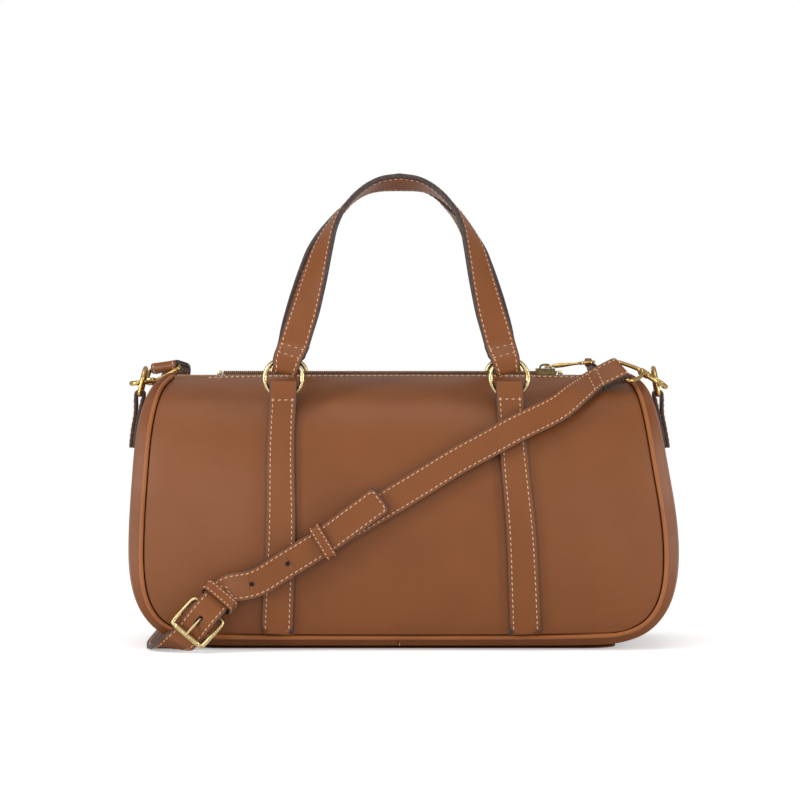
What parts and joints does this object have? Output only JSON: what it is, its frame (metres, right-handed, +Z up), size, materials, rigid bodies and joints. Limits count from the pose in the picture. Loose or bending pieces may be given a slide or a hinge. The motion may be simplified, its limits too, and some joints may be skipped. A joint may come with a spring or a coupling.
{
  "type": "zipped barrel satchel",
  "caption": "Smooth leather barrel satchel with a zip along the top, handles on rings and a buckled shoulder strap clipped to rings at its ends.",
  "frame": {"origin": "middle of the flat base, on the surface the satchel stands on", "axes": "+X along the zip to the front's right, +Y from the front panel to the back panel, +Z up"},
  "size_m": [0.3419, 0.2005, 0.293],
  "materials": {
    "body_leather": "smooth, softly polished",
    "strap_leather": "smooth, stitched, dark painted edges",
    "handle_leather": "smooth, stitched, dark painted edges",
    "piping_leather": "smooth, turned over a cord",
    "lining": "plain weave",
    "board": "matte",
    "zip_tape": "woven tape",
    "zip_teeth": "satin",
    "brass": "polished, pale"
  },
  "bodies": {
    "bag": {"back_panel": "body_leather", "back_piping": "piping_leather", "back_tab_left": "strap_leather", "back_tab_right": "strap_leather", "base_board": "board", "base_panel": "body_leather", "buckle_frame": "brass", "buckle_strap": "strap_leather", "fixed_keeper": "strap_leather", "front_panel": "body_leather", "front_piping": "piping_leather", "front_tab_left": "strap_leather", "front_tab_right": "strap_leather", "gusset_left": "body_leather", "gusset_right": "body_leather", "hole_strap": "strap_leather", "left_hook_eye": "brass", "lining": "lining", "right_hook_eye": "brass", "side_tab_left": "strap_leather", "side_tab_right": "strap_leather", "zip_end_stop": "zip_teeth", "zip_stop_back": "zip_teeth", "zip_stop_front": "zip_teeth", "zip_tape_back": "zip_tape", "zip_tape_front": "zip_tape", "zip_teeth_back": "zip_teeth", "zip_teeth_front": "zip_teeth"},
    "slider": {"zip_slider": "brass"},
    "puller": {"zip_puller": "brass"},
    "pull_tab": {"zip_pull_tab": "strap_leather"},
    "front_left_ring": {"front_ring_left": "brass"},
    "front_right_ring": {"front_ring_right": "brass"},
    "front_handle": {"front_handle": "handle_leather"},
    "back_left_ring": {"back_ring_left": "brass"},
    "back_right_ring": {"back_ring_right": "brass"},
    "back_handle": {"back_handle": "handle_leather"},
    "left_side_ring": {"side_ring_left": "brass"},
    "right_side_ring": {"side_ring_right": "brass"},
    "left_hook": {"left_hook_body": "brass"},
    "left_gate": {"left_hook_gate": "brass"},
    "right_hook": {"right_hook_body": "brass"},
    "right_gate": {"right_hook_gate": "brass"},
    "roller": {"buckle_roller": "brass"},
    "prong": {"buckle_prong": "brass"},
    "keeper": {"sliding_keeper": "strap_leather"}
  },
  "joints": [
    {"name": "zip_slide", "type": "slide", "parent": "bag", "child": "slider", "axis": [-1, 0, 0], "range_m": [0, 0.19]},
    {"name": "puller_hinge", "type": "hinge", "parent": "slider", "child": "puller", "pos_m": [0.0885, 0, 0.17225], "axis": [0, -1, 0], "range_deg": [0, 165]},
    {"name": "pull_tab_hinge", "type": "hinge", "parent": "puller", "child": "pull_tab", "pos_m": [0.1155, 0.00445, 0.17509], "axis": [0.968, -0.251, 0], "range_deg": [0, 40]},
    {"name": "front_ring_swing", "type": "hinge", "parent": "bag", "child": "front_left_ring", "pos_m": [-0.07338, -0.058, 0.1562], "axis": [1, 0, 0], "range_deg": [0, 40]},
    {"name": "front_right_ring_swing", "type": "hinge", "parent": "bag", "child": "front_right_ring", "pos_m": [0.06438, -0.058, 0.1562], "axis": [1, 0, 0], "range_deg": [0, 40]},
    {"name": "front_handle_swing", "type": "hinge", "parent": "front_left_ring", "child": "front_handle", "pos_m": [-0.07338, -0.058, 0.1758], "axis": [1, 0, 0], "range_deg": [0, 24]},
    {"name": "back_ring_swing", "type": "hinge", "parent": "bag", "child": "back_left_ring", "pos_m": [-0.07338, 0.058, 0.1562], "axis": [-1, 0, 0], "range_deg": [0, 40]},
    {"name": "back_right_ring_swing", "type": "hinge", "parent": "bag", "child": "back_right_ring", "pos_m": [0.06438, 0.058, 0.1562], "axis": [-1, 0, 0], "range_deg": [0, 40]},
    {"name": "back_handle_swing", "type": "hinge", "parent": "back_left_ring", "child": "back_handle", "pos_m": [-0.07338, 0.058, 0.1758], "axis": [-1, 0, 0], "range_deg": [0, 24]},
    {"name": "left_side_ring_swing", "type": "hinge", "parent": "bag", "child": "left_side_ring", "pos_m": [-0.16469, 0, 0.15489], "axis": [0, 1, 0], "range_deg": [-3, 2]},
    {"name": "right_side_ring_swing", "type": "hinge", "parent": "bag", "child": "right_side_ring", "pos_m": [0.15869, 0, 0.15489], "axis": [0, 1, 0], "range_deg": [-2, 3]},
    {"name": "left_hook_swivel", "type": "hinge", "parent": "bag", "child": "left_hook", "pos_m": [-0.15926, 0.01651, 0.1629], "axis": [-0.4122, -0.9104, -0.037], "range_deg": [-2, 2]},
    {"name": "left_gate_hinge", "type": "hinge", "parent": "left_hook", "child": "left_gate", "pos_m": [-0.15786, 0.00753, 0.16307], "axis": [0.0972, -0.0036, -0.9953], "range_deg": [0, 5]},
    {"name": "right_hook_swivel", "type": "hinge", "parent": "bag", "child": "right_hook", "pos_m": [0.14948, -0.01672, 0.1683], "axis": [0.647, 0.665, -0.373], "range_deg": [-2, 2]},
    {"name": "right_gate_hinge", "type": "hinge", "parent": "right_hook", "child": "right_gate", "pos_m": [0.15698, -0.01537, 0.16334], "axis": [0.5595, -0.0818, 0.8248], "range_deg": [0, 5]},
    {"name": "roller_spin", "type": "hinge", "parent": "bag", "child": "roller", "pos_m": [-0.13104, -0.0868, 0.01149], "axis": [0.7643, -0.1133, -0.6348], "continuous": true},
    {"name": "prong_hinge", "type": "hinge", "parent": "bag", "child": "prong", "pos_m": [-0.11771, -0.0782, 0.026], "axis": [-0.7643, 0.1133, 0.6348], "range_deg": [0, 6]},
    {"name": "keeper_slide", "type": "slide", "parent": "bag", "child": "keeper", "axis": [-0.856, 0.0118, -0.5168], "range_m": [-0.001, 0.003]}
  ],
  "couplings": [
    {"joint": "front_right_ring_swing", "follows": "front_ring_swing", "ratio": 1},
    {"joint": "back_right_ring_swing", "follows": "back_ring_swing", "ratio": 1}
  ]
}
